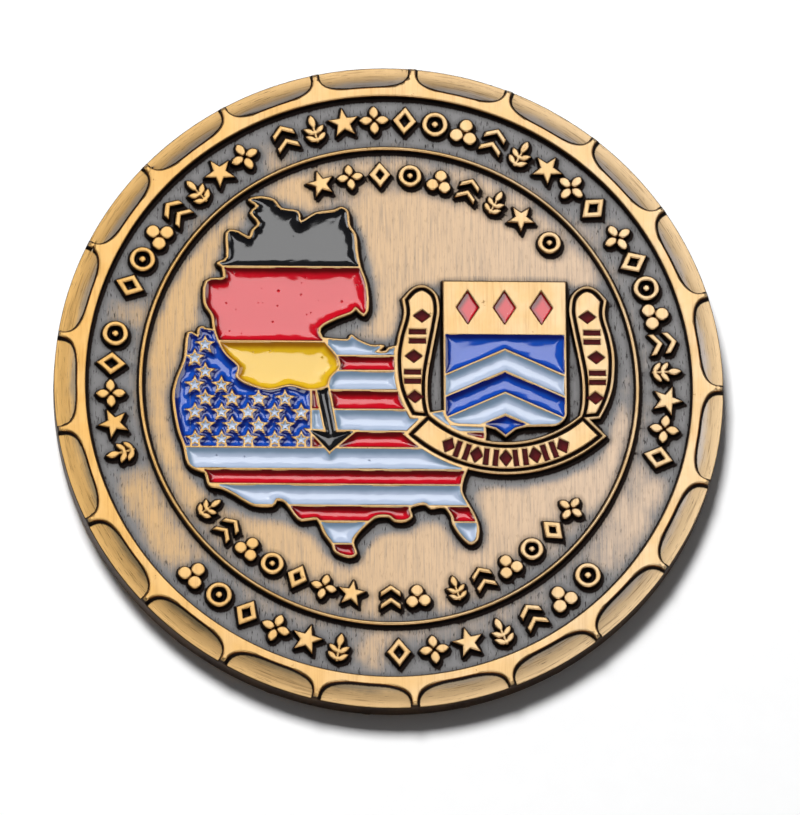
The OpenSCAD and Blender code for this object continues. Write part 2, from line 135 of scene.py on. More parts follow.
# Points in the open: their pitch, and the least distance from a wall
OPEN_PITCH = 0.45
OPEN_GAP = 0.16
POOL_POINT_PITCH = 0.13
POOL_POINT_GAP = 0.09

# Half the span over which a surface's slope is taken
COIN_STEP = 0.004
POOL_STEP = 0.012

# ---- Enamel: its surface is lowest in the middle of a cell and climbs its walls ----

# How far it climbs, the distance over which it does, and how far its middle lies below the CAD's
# flat top. The small cells of some nodes have a steeper or a smoother surface of their own.
POOL_RISE = 0.2
POOL_FADE = 0.42
POOL_SINK = 0.095
POOL_BLUR = 0.05
OWN_RISE = {"canton_blue": 0.28}
OWN_FADE = {"canton_blue": 0.33, "shield_upper_blue": 0.5, "shield_middle_blue": 0.5}
OWN_BLUR = {"canton_blue": 0.08}
MARK_RISE = 0.05
MARK_FADE = 0.14
MARK_SINK = 0.06

# It stays this far below the top of its walls, and its solid starts this far above the CAD's
POOL_CAP = 0.008
POOL_LIFT = 0.01

# Ripples, as the length and the height of each kind: in the line that the climb follows, where
# the height is a share of POOL_WOBBLE and grows over WOBBLE_START, and in the surface itself
POOL_WOBBLE = 0.04
WOBBLE_WAVES = ((1.7, 0.6), (0.8, 0.4))
WOBBLE_START = 0.5
POOL_WAVES = ((5.0, 0.006), (2.6, 0.003), (1.3, 0.0012))

# Cells so small that their painted shade is lightened all over, and by how much
PALE_POOLS = ("canton_stars",)
PALER = 0.3

# Pits: the least radius, how much it may grow, and the least distance from a wall
PIT_R = 0.04
PIT_GROWTH = 0.09
PIT_CLEAR = 0.1
PIT_POINTS = 12

# ---- Lamps ----

LAMP_DISTANCE = 600
FLOOR_HALF = 400

# Name, angles from straight up to the north and to the east, width and height, radiance
MIRRORED_LAMPS = (
    ("main", 23, 7.5, (385, 390), 4.1),
    ("west", 20, -55, (340, 340), 5.0),
    ("east", 12, 58, (400, 300), 3.0),
    ("south", -56, 5, (400, 400), 4.0),
)
KEY_LAMP = ("key", 29.5, -12.5, (170, 170), 49.5)
SKY = (0.07, 0.07, 0.072, 1)

# ---- Camera ----

VIEW_TILT = math.radians(17.5)
VIEW_TURN = math.radians(9.2)
VIEW_DISTANCE = 1200
VIEW_HEIGHT = 54.03
SENSOR = 36
FRONT_OFF_CENTRE = (-0.71, 1.536)


def make_camera():
    """Looks down on the front face from a little to the south, so far off that lines stay parallel."""
    back = Vector((
        -math.sin(VIEW_TILT) * math.sin(VIEW_TURN),
        -math.sin(VIEW_TILT) * math.cos(VIEW_TURN),
        math.cos(VIEW_TILT),
    ))
    turn = Vector((0, 0, 1)).rotation_difference(back)
    right = turn @ Vector((1, 0, 0))
    up = turn @ Vector((0, 1, 0))
    aim = Vector((0, 0, COIN_T)) - right * FRONT_OFF_CENTRE[0] - up * FRONT_OFF_CENTRE[1]
    data = bpy.data.cameras.new("camera")
    data.sensor_width = SENSOR
    data.lens = data.sensor_width * VIEW_DISTANCE / VIEW_HEIGHT
    data.clip_start = 0.1
    data.clip_end = 10
    camera = bpy.data.objects.new("camera", data)
    camera.location = (aim + back * VIEW_DISTANCE) * MM
    camera.rotation_mode = "QUATERNION"
    camera.rotation_quaternion = turn
    bpy.context.collection.objects.link(camera)
    bpy.context.scene.camera = camera


# ---- Outlines of the CAD's flat faces ----


def cad_triangles(node):
    """A CAD node's corners in millimetres, with equal corners made one, and its triangles."""
    mesh = frame["nodes"][node].data
    mesh.calc_loop_triangles()
    corners = np.empty(len(mesh.vertices) * 3)
    mesh.vertices.foreach_get("co", corners)
    triangles = np.empty(len(mesh.loop_triangles) * 3, int)
    mesh.loop_triangles.foreach_get("vertices", triangles)
    corners, same = np.unique(np.round(corners.reshape(-1, 3) / MM, 4), axis=0, return_inverse=True)
    return corners, same.ravel()[triangles].reshape(-1, 3)


def chain(follows):
    """Joins steps from one point to the next into lists of points. follows maps a point to the
    points that come straight after it."""
    chains = []
    while follows:
        start = next(iter(follows))
        run = [start]
        here = start
        while here in follows:
            ways = follows[here]
            there = ways.pop()
            if not ways:
                del follows[here]
            if there == start:
                break
            run.append(there)
            here = there
        chains.append(run)
    return chains


def true_circle(outline):
    """The outline, or the circle that it stands for if its corners all lie on one."""
    centre = (outline.min(axis=0) + outline.max(axis=0)) / 2
    radii = np.hypot(*(outline - centre).T)
    if len(outline) < 12 or np.ptp(radii) > 0.003:
        return outline
    count = max(48, int(radii.mean() * 40))
    angles = np.arange(count) * 2 * math.pi / count
    return centre + radii.mean() * np.stack([np.cos(angles), np.sin(angles)], axis=1)


def flat_outlines(node, level):
    """The closed outlines of a CAD node's flat faces at one height."""
    corners, triangles = cad_triangles(node)
    flat = np.all(np.abs(corners[triangles][:, :, 2] - level) < FLAT, axis=1)
    steps = set()
    for a, b, c in triangles[flat].tolist():
        steps.update(((a, b), (b, c), (c, a)))
    follows = {}
    for a, b in sorted(steps):
        if a != b and (b, a) not in steps:
            follows.setdefault(a, []).append(b)
    return [true_circle(corners[run][:, :2]) for run in chain(follows) if len(run) > 2]


def pool_outlines():
    """The outlines of all the enamel."""
    found = []
    for row in frame["record"]["subparts"]:
        if row["node"] != "coin_body":
            found += flat_outlines(row["node"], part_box(row["node"])[1][2] / MM)
    return found


def relief_depth(side_z, sign):
    """Depth of the raised ornament's top below the rim: the commonest height of the coin's flat
    faces between its rim and its shallowest sunk ones."""
    corners, triangles = cad_triangles("coin_body")
    points = corners[triangles]
    depth = (side_z - points[:, :, 2]) * sign
    level = np.ptp(depth, axis=1) < FLAT
    near = level & (depth[:, 0] > 0.01) & (depth[:, 0] < 0.9 * MARK_DEPTH)
    return float(np.median(depth[near, 0]))


# ---- Distance maps ----


class Grid:
    """A grid over an area of the coin, seen from the front."""

    def __init__(self, low, high, pitch):
        self.pitch = pitch
        self.x = np.arange(low[0], high[0] + pitch, pitch)
        self.y = np.arange(low[1], high[1] + pitch, pitch)

    def span(self, axis, low, high):
        first = int(math.floor((low - axis[0]) / self.pitch))
        last = int(math.ceil((high - axis[0]) / self.pitch)) + 1
        return max(first, 0), min(last, len(axis))

    def distance(self, outlines, reach):
        """Distance from the outlines, positive inside them and at most reach either way."""
        gap = np.full((len(self.y), len(self.x)), reach)
        flips = np.zeros(gap.shape, np.uint8)
        for outline in outlines:
            for p, q in zip(outline, np.roll(outline, -1, axis=0)):
                self.near(gap, p, q, reach)
                self.flip(flips, p, q)
        inside = np.bitwise_xor.accumulate(flips, axis=1)
        return np.where(inside == 1, gap, -gap)

    def near(self, gap, p, q, reach):
        i0, i1 = self.span(self.x, min(p[0], q[0]) - reach, max(p[0], q[0]) + reach)
        j0, j1 = self.span(self.y, min(p[1], q[1]) - reach, max(p[1], q[1]) + reach)
        x = self.x[i0:i1] - p[0]
        y = self.y[j0:j1, None] - p[1]
        dx, dy = q - p
        along = np.clip((x * dx + y * dy) / max(dx * dx + dy * dy, 1e-12), 0, 1)
        there = np.hypot(x - along * dx, y - along * dy)
        np.minimum(gap[j0:j1, i0:i1], there, out=gap[j0:j1, i0:i1])

    def flip(self, flips, p, q):
        """Marks, in each row that the edge from p to q crosses, the first point beyond it."""
        if p[1] > q[1]:
            p, q = q, p
        j0 = int(math.ceil((p[1] - self.y[0]) / self.pitch))
        j1 = int(math.ceil((q[1] - self.y[0]) / self.pitch))
        rows = np.arange(max(j0, 0), min(j1, len(self.y)))
        if len(rows):
            x = p[0] + (q[0] - p[0]) * (self.y[rows] - p[1]) / (q[1] - p[1])
            columns = np.ceil((x - self.x[0]) / self.pitch).astype(int)
            flips[rows, np.clip(columns, 0, len(self.x) - 1)] ^= 1

    def sample(self, values, x, y):
        """The grid's values at any points, by linear interpolation."""
        u = np.clip((x - self.x[0]) / self.pitch, 0, len(self.x) - 1.001)
        v = np.clip((y - self.y[0]) / self.pitch, 0, len(self.y) - 1.001)
        i = u.astype(int)
        j = v.astype(int)
        u = u - i
        v = v - j
        low = values[j, i] * (1 - u) + values[j, i + 1] * u
        high = values[j + 1, i] * (1 - u) + values[j + 1, i + 1] * u
        return low * (1 - v) + high * v

    def blur(self, values, radius):
        """Three passes of a box filter, which come close to a bell curve of that radius."""
        half = max(1, int(round(radius / self.pitch)))
        for axis in (0, 1, 0, 1, 0, 1):
            values = box_filter(values, half, axis)
        return values


def box_filter(values, half, axis):
    pad = [(0, 0), (0, 0)]
    pad[axis] = (half + 1, half)
    total = np.cumsum(np.pad(values, pad, mode="edge"), axis=axis)
    width = 2 * half + 1
    count = values.shape[axis]
    upper = np.take(total, np.arange(width, width + count), axis=axis)
    lower = np.take(total, np.arange(count), axis=axis)
    return (upper - lower) / width


# ---- Contours ----

# For each way that a square's corners can lie inside, which edges its contour enters and leaves
# by. Corners count 1, 2, 4, 8 and edges 0 to 3, both round the square from its lower left.
CROSSINGS = {
    1: [(0, 3)], 2: [(1, 0)], 3: [(1, 3)], 4: [(2, 1)], 5: [(0, 3), (2, 1)], 6: [(2, 0)],
    7: [(2, 3)], 8: [(3, 2)], 9: [(0, 2)], 10: [(1, 0), (3, 2)], 11: [(1, 2)], 12: [(3, 1)],
    13: [(0, 1)], 14: [(3, 0)],
}


def contours(grid, values, level, longest=10000):
    """Closed lines along which the grid's values equal the level, each with few points: as many
    as its shape needs, and no span longer than so many steps of the grid."""
    rows, columns = values.shape
    above = values > level
    case = (above[:-1, :-1] * 1 + above[:-1, 1:] * 2 + above[1:, 1:] * 4 + above[1:, :-1] * 8)
    upright = rows * columns
    follows = {}
    for kind, ways in CROSSINGS.items():
        j, i = np.nonzero(case == kind)
        here = j * columns + i
        edges = (here, upright + here + 1, here + columns, upright + here)
        for start, end in ways:
            for a, b in zip(edges[start].tolist(), edges[end].tolist()):
                follows.setdefault(a, []).append(b)
    lines = []
    for run in chain(follows):
        line = crossing_points(grid, values, level, np.array(run), upright)
        if len(line) >= 8:
            lines.append(simplified(line, longest))
    return lines


def crossing_points(grid, values, level, edges, upright):
    """Where the level crosses each numbered edge of the grid."""
    columns = values.shape[1]
    tall = edges >= upright
    j, i = np.divmod(np.where(tall, edges - upright, edges), columns)
    a = values[j, i]
    b = values[j + tall, i + ~tall]
    part = np.clip((level - a) / np.where(b == a, 1, b - a), 0, 1)
    x = grid.x[i] + np.where(tall, 0, part) * grid.pitch
    y = grid.y[j] + np.where(tall, part, 0) * grid.pitch
    return np.stack([x, y], axis=1)


def simplified(line, longest):
    """A closed line with only the points that keep it within SIMPLIFY of where it was."""
    far = int(np.argmax(np.hypot(*(line - line[0]).T)))
    keep = {0, far}
    spans = [(0, far), (far, len(line))]
    ring = np.vstack([line, line[:1]])
    while spans:
        a, b = spans.pop()
        if b - a < 2:
            continue
        d = ring[b] - ring[a]
        off = ring[a + 1:b] - ring[a]
        length = max(math.hypot(*d), 1e-9)
        gap = np.abs(off[:, 0] * d[1] - off[:, 1] * d[0]) / length
        worst = int(np.argmax(gap))
        if gap[worst] > SIMPLIFY or b - a > longest:
            split = a + 1 + worst if gap[worst] > SIMPLIFY else (a + b) // 2
            keep.add(split)
            spans += [(a, split), (split, b)]
    return line[sorted(keep)]


# ---- Meshes ----


class Layout:
    """Points and edges on the plane, to be joined into triangles."""

    def __init__(self):
        self.points = []
        self.edges = []
        self.count = 0

    def add_points(self, points):
        self.points.append(np.asarray(points, float))
        self.count += len(points)

    def add_line(self, line, keep=None):
        """A closed line. Where keep is given, only the edges between kept points are added."""
        first = self.count
        self.add_points(line)
        count = len(line)
        for i in range(count):
            j = (i + 1) % count
            if keep is None or (keep[i] and keep[j]):
                self.edges.append((first + i, first + j))

    def triangles(self):
        points = np.concatenate(self.points)
        found = delaunay_2d_cdt([Vector(p) for p in points], self.edges, [], 0, 1e-5)
        corners = np.array([tuple(v) for v in found[0]])
        return corners, np.array([f for f in found[2] if len(f) == 3])


def make_object(name, corners, triangles, normals=None, values=None):
    """A smooth-shaded mesh object. corners are in millimetres, and values are named numbers that
    its material reads at each corner."""
    mesh = bpy.data.meshes.new(name)
    mesh.vertices.add(len(corners))
    mesh.vertices.foreach_set("co", (corners * MM).ravel())
    mesh.loops.add(triangles.size)
    mesh.loops.foreach_set("vertex_index", triangles.ravel().astype(np.int32))
    mesh.polygons.add(len(triangles))
    mesh.polygons.foreach_set("loop_start", np.arange(len(triangles), dtype=np.int32) * 3)
    mesh.polygons.foreach_set("use_smooth", np.ones(len(triangles), bool))
    mesh.update(calc_edges=True)
    for key, column in (values or {}).items():
        attribute = mesh.attributes.new(key, "FLOAT", "POINT")
        attribute.data.foreach_set("value", column.astype(np.float32))
    if normals is not None:
        mesh.normals_split_custom_set_from_vertices(normals.tolist())
    obj = bpy.data.objects.new(name, mesh)
    bpy.context.collection.objects.link(obj)
    return obj


def facing(corners, triangles, upwards):
    """The triangles, all turned to face up or down as seen on the plane."""
    a, b, c = (corners[triangles[:, k]] for k in range(3))
    turn = (b[:, 0] - a[:, 0]) * (c[:, 1] - a[:, 1]) - (b[:, 1] - a[:, 1]) * (c[:, 0] - a[:, 0])
    wrong = (turn > 0) != upwards
    fixed = triangles.copy()
    fixed[wrong] = fixed[wrong][:, ::-1]
    return fixed[np.abs(turn) > 1e-9]


# ---- Coin body ----


def wall_drop(inside, depth):
    """How far a struck wall has dropped, at a distance inside its outline, out of its depth."""
    lean = math.atan(WALL_SLOPE)
    top_span = TOP_R * math.sin(lean)
    top_drop = TOP_R * (1 - math.cos(lean))
    foot_span = FOOT_R * math.sin(lean)
    foot_drop = FOOT_R * (1 - math.cos(lean))
    run = WALL_IN - inside
    foot = top_span + np.maximum(depth - top_drop - foot_drop, 0) / WALL_SLOPE
    end = foot + foot_span
    drop = np.minimum(top_drop, depth) + (run - top_span) * WALL_SLOPE
    rounded = TOP_R - np.sqrt(np.maximum(TOP_R ** 2 - np.clip(run, 0, top_span) ** 2, 0))
    filleted = depth - FOOT_R + np.sqrt(np.maximum(FOOT_R ** 2 - np.clip(end - run, 0, FOOT_R) ** 2, 0))
    drop = np.where(run < top_span, rounded, drop)
    drop = np.where(run > foot, filleted, drop)
    drop = np.where(run > end, depth, drop)
    return np.clip(drop, 0, np.maximum(depth, 0))


class Side:
    """One struck face of the coin: how deep each of its points lies below the rim."""

    def __init__(self, rim_z, sign, marks):
        self.rim_z = rim_z
        self.sign = sign
        self.relief = relief_depth(rim_z, sign)
        half = COIN_R + COIN_MARGIN
        self.grid = Grid((-half, -half), (half, half), COIN_PITCH)
        relief_z = rim_z - sign * self.relief
        self.relief_in = self.grid.distance(flat_outlines("coin_body", relief_z), REACH)
        rims = flat_outlines("coin_body", rim_z)
        self.ridge_r = max(np.hypot(*rim.T).max() for rim in rims)
        self.rim_in = self.grid.distance([self.past_edge(rim) for rim in rims], REACH)
        self.mark_in = np.full(self.relief_in.shape, -REACH)
        if marks:
            mark_z = rim_z - sign * MARK_DEPTH
            self.mark_in = self.grid.distance(flat_outlines("coin_body", mark_z), MARK_REACH)
        covered = (self.relief_in > 0) | (self.mark_in > 0) | (self.rim_in > 0)
        if marks:
            covered |= self.grid.distance(pool_outlines(), COIN_PITCH) > 0
        self.crowd = self.grid.blur(covered.astype(float), CROWD_BLUR)

    def past_edge(self, rim):
        """The rim's outline with the ends of its ridges drawn out beyond the coin's edge."""
        radius = np.hypot(*rim.T)
        ends = radius > self.ridge_r - 0.01
        rim = rim.copy()
        rim[ends] *= ((COIN_R + 0.5) / radius[ends])[:, None]
        return rim

    def inside(self, x, y):
        """Distance inside the nearest raised outline, negative on the ground between them."""
        return np.maximum(
            self.grid.sample(self.relief_in, x, y), self.grid.sample(self.rim_in, x, y)
        )

    def paint_values(self, x, y):
        """What the brass reads at each corner: see antique_brass."""
        # Read a little to the north-west, the distance to a raised outline widens the dark outline on
        # the south-east side as painted shadow. The crowd map is read shifted too, so its painted shade
        # lies to the south-east.
        shade_x, shade_y = SHADE_OFFSET
        beside = self.inside(x - shade_x, y - shade_y)
        inside = self.inside(x, y)
        shift_x, shift_y = CROWD_SHIFT
        return {
            "inside": np.clip(inside, *INSIDE_SPAN),
            "lee": np.clip(np.maximum(inside, beside), *INSIDE_SPAN),
            "crowd": self.grid.sample(self.crowd, x - shift_x, y - shift_y),
        }

    def depth(self, x, y):
        """How far below the rim each point lies."""
        radius = np.hypot(x, y)
        relief = self.grid.sample(self.relief_in, x, y)
        marked = self.grid.sample(self.mark_in, x, y) > -0.02
        floor = np.where(marked, MARK_DEPTH, FIELD_DEPTH)
        middle = self.relief + wall_drop(relief, floor - self.relief)
        reach = np.minimum(np.abs(radius - SCOOP_CENTRE_R), SCOOP_TOOL_R)
        scoop = SCOOP_DEPTH - SCOOP_TOOL_R + np.sqrt(SCOOP_TOOL_R ** 2 - reach ** 2)
        ground = np.where(radius > (RIM_IN_R + RIM_OUT_R) / 2, np.maximum(scoop, 0), FIELD_DEPTH)
        outer = wall_drop(self.grid.sample(self.rim_in, x, y), ground)
        start = self.ridge_r - RIDGE_FALL
        leaning = np.clip((radius - start) / (COIN_R - start), 0, 1)
        outer = np.maximum(outer, RIDGE_END * leaning ** RIDGE_CURVE)
        over = np.clip(radius - (COIN_R - EDGE_R), 0, EDGE_R)
        rolled = EDGE_R - np.sqrt(EDGE_R ** 2 - over ** 2)
        return np.where(radius < BETWEEN_R, middle, outer) + EDGE_SOFTNESS * rolled

    def normals(self, x, y):
        step = COIN_STEP
        dx = (self.depth(x + step, y) - self.depth(x - step, y)) / (2 * step)
        dy = (self.depth(x, y + step) - self.depth(x, y - step)) / (2 * step)
        found = np.stack([dx, dy, np.full(len(x), float(self.sign))], axis=1)
        return found / np.linalg.norm(found, axis=1)[:, None]

    def layout(self):
        plan = Layout()
        angles = np.arange(EDGE_POINTS) * 2 * math.pi / EDGE_POINTS
        ring = np.stack([np.cos(angles), np.sin(angles)], axis=1)
        plan.add_line(ring * COIN_R)
        for inwards in EDGE_RINGS:
            plan.add_points(ring * (COIN_R - inwards))
        for radius in np.arange(RIM_OUT_R + 0.03, COIN_R - 0.4, SCOOP_RING_PITCH):
            plan.add_points(ring[::2] * radius)
        for values in (self.relief_in, self.rim_in):
            for level in WALL_LEVELS:
                for line in contours(self.grid, values, level):
                    keep = np.hypot(*line.T) < COIN_R - 0.012
                    plan.add_line(line[keep], None if keep.all() else joined(keep))
        plan.add_points(self.open_points())
        return plan

    def open_points(self):
        """Points inside the rim that are clear of every wall."""
        points = staggered((-RIM_IN_R, -RIM_IN_R), (RIM_IN_R, RIM_IN_R), OPEN_PITCH)
        clear = np.abs(self.inside(*points.T)) > OPEN_GAP
        clear &= np.hypot(*points.T) < RIM_IN_R - 0.1
        return points[clear]


def staggered(low, high, pitch):
    """Points in rows, each row half a pitch along from the one before."""
    x, y = np.meshgrid(np.arange(low[0], high[0], pitch), np.arange(low[1], high[1], pitch))
    x[::2] += pitch / 2
    return np.stack([x.ravel(), y.ravel()], axis=1)


def joined(keep):
    """After points are dropped from a closed line: which of those left still touch the next."""
    left = np.nonzero(keep)[0]
    linked = np.ones(len(left), bool)
    for k, i in enumerate(left):
        before = left[k - 1]
        after = left[(k + 1) % len(left)]
        linked[k] = (i - before) % len(keep) == 1 and (after - i) % len(keep) == 1
    return linked


def struck_face(side):
    """Corners, triangles, normals and material values of one face of the coin."""
    flat, triangles = side.layout().triangles()
    radius = np.hypot(*flat.T)
    edge = radius > COIN_R - 0.002
    flat[edge] *= (COIN_R / radius[edge])[:, None]
    x, y = flat.T
    depth = side.depth(x, y)
    corners = np.column_stack([x, y, side.rim_z - side.sign * depth])
    values = side.paint_values(x, y)
    return corners, facing(flat, triangles, side.sign > 0), side.normals(x, y), values


def rim_order(corners):
    """The corners on the coin's outer edge, in order round it."""
    edge = np.nonzero(np.hypot(corners[:, 0], corners[:, 1]) > COIN_R - FLAT)[0]
    return edge[np.argsort(np.arctan2(corners[edge, 1], corners[edge, 0]))]


def make_coin():
    """The whole struck body: two faces and the side wall between them, as one closed mesh."""
    front = struck_face(Side(COIN_T, 1, True))
    back = struck_face(Side(0, -1, False))
    shift = len(front[0])
    top = rim_order(front[0])
    bottom = rim_order(back[0]) + shift
    corners = np.concatenate([front[0], back[0]])
    normals = np.concatenate([front[2], back[2]])
    values = {key: np.concatenate([front[3][key], back[3][key]]) for key in front[3]}
    rows = [top]
    added = []
    for k in range(1, SIDE_ROWS):
        part = k / SIDE_ROWS
        added.append(corners[top] * (1 - part) + corners[bottom] * part)
        rows.append(len(corners) + (k - 1) * len(top) + np.arange(len(top)))
    rows.append(bottom)
    wall = np.concatenate(added)
    outward = wall * [1, 1, 0] / COIN_R
    sides = []
    for upper, lower in zip(rows, rows[1:]):
        nearer = np.roll(upper, -1)
        below = np.roll(lower, -1)
        sides += [np.stack([upper, lower, below], axis=1), np.stack([upper, below, nearer], axis=1)]
    triangles = np.concatenate([front[1], back[1] + shift] + sides)
    values = {key: np.concatenate([column, np.zeros(len(wall))]) for key, column in values.items()}
    coin = make_object(
        "coin_body_struck",
        np.concatenate([corners, wall]),
        triangles,
        np.concatenate([normals, outward]),
        values,
    )
    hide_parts("coin_body")
    return coin


# ---- Enamel ----


def make_pool(node, seed, wall_z, pits):
    """The enamel of one node: a closed solid whose top sags between the walls of its cell, and
    stays below their top."""
    low, high = (np.array(corner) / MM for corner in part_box(node))
    outlines = flat_outlines(node, high[2])
    grid = Grid(low[:2] - POOL_MARGIN, high[:2] + POOL_MARGIN, POOL_PITCH)
    inside = grid.distance(outlines, REACH)
    random = np.random.default_rng(seed)
    surface = pool_surface(node, grid, inside, random)
    surface = np.minimum(surface, wall_z - POOL_CAP)
    holes = pick_pits(grid, inside, pits, random)
    flat, triangles = pool_layout(grid, inside, low, high, holes)
    height = lambda x, y: grid.sample(surface, x, y) - pit_depth(x, y, holes)
    count = len(flat)
    top = np.column_stack([flat, height(*flat.T)])
    bottom = np.column_stack([flat, np.full(count, low[2] + POOL_LIFT)])
    down = np.tile([0.0, 0.0, -1.0], (count, 1))
    normals = np.concatenate([surface_normals(height, *flat.T), down])
    used, faces = closed_below(triangles, count)
    # The distance from the cell's walls, read a little to the north-west: the enamel's material paints
    # shade from it, deepest beside the walls on the north and west sides
    shade_clearance = grid.sample(inside, flat[:, 0] - SHADE_OFFSET[0], flat[:, 1] - SHADE_OFFSET[1])
    if node in PALE_POOLS:
        shade_clearance += PALER
    corners = np.concatenate([top, bottom])[used]
    values = {"shade_clearance": np.tile(shade_clearance, 2)[used]}
    pool = make_object(node + "_enamel", corners, faces, normals[used], values)
    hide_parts(node)
    return pool


def pool_surface(node, grid, inside, random):
    """The height of an enamel's top over the whole grid."""
    low, high = (corner[2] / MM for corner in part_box(node))
    rise, fade, sink = MARK_RISE, MARK_FADE, MARK_SINK
    if low < (FIELD_Z + MARK_Z) / 2:
        rise = OWN_RISE.get(node, POOL_RISE)
        fade = OWN_FADE.get(node, POOL_FADE)
        sink = POOL_SINK + rise - POOL_RISE
    soft = grid.blur(inside, OWN_BLUR.get(node, POOL_BLUR))
    wobble = waves(grid, random, WOBBLE_WAVES) * POOL_WOBBLE
    wobble *= np.clip(soft / WOBBLE_START, 0, 1)
    climb = rise * np.exp(-(soft + wobble) / fade)
    return high - sink + climb + waves(grid, random, POOL_WAVES)


def pool_layout(grid, inside, low, high, holes):
    """The points of an enamel's top on the plane, and its triangles, all facing up."""
    plan = Layout()
    for level in POOL_LEVELS:
        for line in contours(grid, inside, level, POOL_SPAN):
            plan.add_line(line)
    points = staggered(low, high, POOL_POINT_PITCH)
    plan.add_points(points[grid.sample(inside, *points.T) > POOL_POINT_GAP])
    for px, py, radius, _ in holes:
        plan.add_points(pit_points(px, py, radius))
    flat, triangles = plan.triangles()
    middles = flat[triangles].mean(axis=1)
    triangles = triangles[grid.sample(inside, *middles.T) > POOL_LEVELS[0] - SIMPLIFY]
    return flat, facing(flat, triangles, True)


def closed_below(triangles, count):
    """Joins a sheet to a copy of itself, whose corners come straight after its own. Gives which
    corners are used, and the faces of the closed solid as places among those."""
    sides = boundary(triangles)
    wall = np.concatenate([
        np.stack([sides[:, 0], sides[:, 0] + count, sides[:, 1] + count], axis=1),
        np.stack([sides[:, 0], sides[:, 1] + count, sides[:, 1]], axis=1),
    ])
    used = np.unique(np.concatenate([triangles.ravel(), triangles.ravel() + count]))
    place = np.full(2 * count, -1)
    place[used] = np.arange(len(used))
    return used, place[np.concatenate([triangles, wall, triangles[:, ::-1] + count])]


def waves(grid, random, kinds):
    """Ripples in all directions. kinds gives the length and the height of each kind."""
    total = np.zeros((len(grid.y), len(grid.x)))
    for length, height in kinds:
        for _ in range(3):
            angle = random.uniform(0, math.pi)
            phase = random.uniform(0, 2 * math.pi)
            along = grid.x * math.cos(angle) + grid.y[:, None] * math.sin(angle)
            total += height * np.sin(along * 2 * math.pi / length + phase)
    return total


def pick_pits(grid, inside, count, random):
    """Small round pits, at places clear of the walls: centre, radius and depth of each."""
    pits = []
    for _ in range(count * 40):
        if len(pits) == count:
            break
        x = random.uniform(grid.x[0], grid.x[-1])
        y = random.uniform(grid.y[0], grid.y[-1])
        radius = PIT_R + PIT_GROWTH * random.uniform() ** 2
        if grid.sample(inside, np.array([x]), np.array([y]))[0] > radius + PIT_CLEAR:
            pits.append((x, y, radius, radius * random.uniform(0.6, 1.0)))
    return pits


def pit_points(x, y, radius):
    angles = np.arange(PIT_POINTS) * 2 * math.pi / PIT_POINTS
    ring = np.stack([np.cos(angles), np.sin(angles)], axis=1)
    parts = [np.zeros((1, 2))] + [ring * radius * part for part in (0.35, 0.7, 1.0, 1.25)]
    return np.concatenate(parts) + [x, y]


def pit_depth(x, y, pits):
    total = np.zeros(len(x))
    for px, py, radius, depth in pits:
        away = np.minimum(((x - px) ** 2 + (y - py) ** 2) / radius ** 2, 1)
        total += depth * (1 - away) ** 2
    return total


def surface_normals(height, x, y):
    step = POOL_STEP
    dx = (height(x + step, y) - height(x - step, y)) / (2 * step)
    dy = (height(x, y + step) - height(x, y - step)) / (2 * step)
    found = np.stack([-dx, -dy, np.ones(len(x))], axis=1)
    return found / np.linalg.norm(found, axis=1)[:, None]


def boundary(triangles):
    """The directed edges that only one triangle has."""
    edges = np.concatenate([triangles[:, [0, 1]], triangles[:, [1, 2]], triangles[:, [2, 0]]])
    known = set(map(tuple, edges.tolist()))
    return np.array([e for e in edges.tolist() if (e[1], e[0]) not in known])


# ---- Materials ----


class Paint:
    """Builds one material's node tree. Each call adds a node and returns an output of it. Inputs
    go by name, or by number as _0, _1 and so on."""

    def __init__(self, name):
        self.material = bpy.data.materials.new(name)
        self.material.use_nodes = True
        self.tree = self.material.node_tree
        self.tree.nodes.clear()

    def add(self, kind, output=0, settings=None, **inputs):
        node = self.tree.nodes.new("ShaderNode" + kind)
        for key, value in (settings or {}).items():
            setattr(node, key, value)
        for key, value in inputs.items():
            socket = node.inputs[int(key[1:])] if key[0] == "_" else node.inputs[key.replace("_", " ")]
            self.feed(socket, value)
        return node.outputs[output]

    def feed(self, socket, value):
        if isinstance(value, bpy.types.NodeSocket):
            self.tree.links.new(value, socket)
        elif isinstance(value, tuple) and len(value) == 3 and socket.type == "RGBA":
            socket.default_value = (*value, 1)
        else:
            socket.default_value = value

    def math(self, operation, a, b=0.0, clamp=False):
        return self.add("Math", settings={"operation": operation, "use_clamp": clamp}, _0=a, _1=b)

    def ramp(self, value, low, high, to_low=0.0, to_high=1.0, smooth=True):
        """The value taken from low..high to to_low..to_high, and held beyond them."""
        kind = "SMOOTHSTEP" if smooth else "LINEAR"
        return self.add(
            "MapRange", settings={"interpolation_type": kind},
            _0=value, _1=low, _2=high, _3=to_low, _4=to_high,
        )

    def mix(self, part, a, b):
        settings = {"data_type": "RGBA"}
        return self.add("Mix", 2, settings, _0=part, _6=a, _7=b)

    def place(self, scale=(1, 1, 1)):
        """Position on the coin in millimetres, times a scale on each axis."""
        here = self.add("TexCoord", 3)
        return self.add("Mapping", Vector=here, Scale=tuple(s / MM for s in scale))

    def noise(self, where, scale, detail=3.0, roughness=0.55):
        return self.add("TexNoise", Vector=where, Scale=scale, Detail=detail, Roughness=roughness)

    def attribute(self, name):
        return self.add("Attribute", 2, {"attribute_name": name})

    def finish(self, **inputs):
        shader = self.add("BsdfPrincipled", **inputs)
        output = self.tree.nodes.new("ShaderNodeOutputMaterial")
        self.tree.links.new(shader, output.inputs[0])
        return self.material


GOLD = (0.42, 0.302, 0.175)
WARM_GOLD = (0.39, 0.255, 0.112)
GOLD_EDGE = (0.16, 0.065, 0.018)
TARNISH = (0.10, 0.05, 0.014)
FIELD = (0.50, 0.378, 0.275)
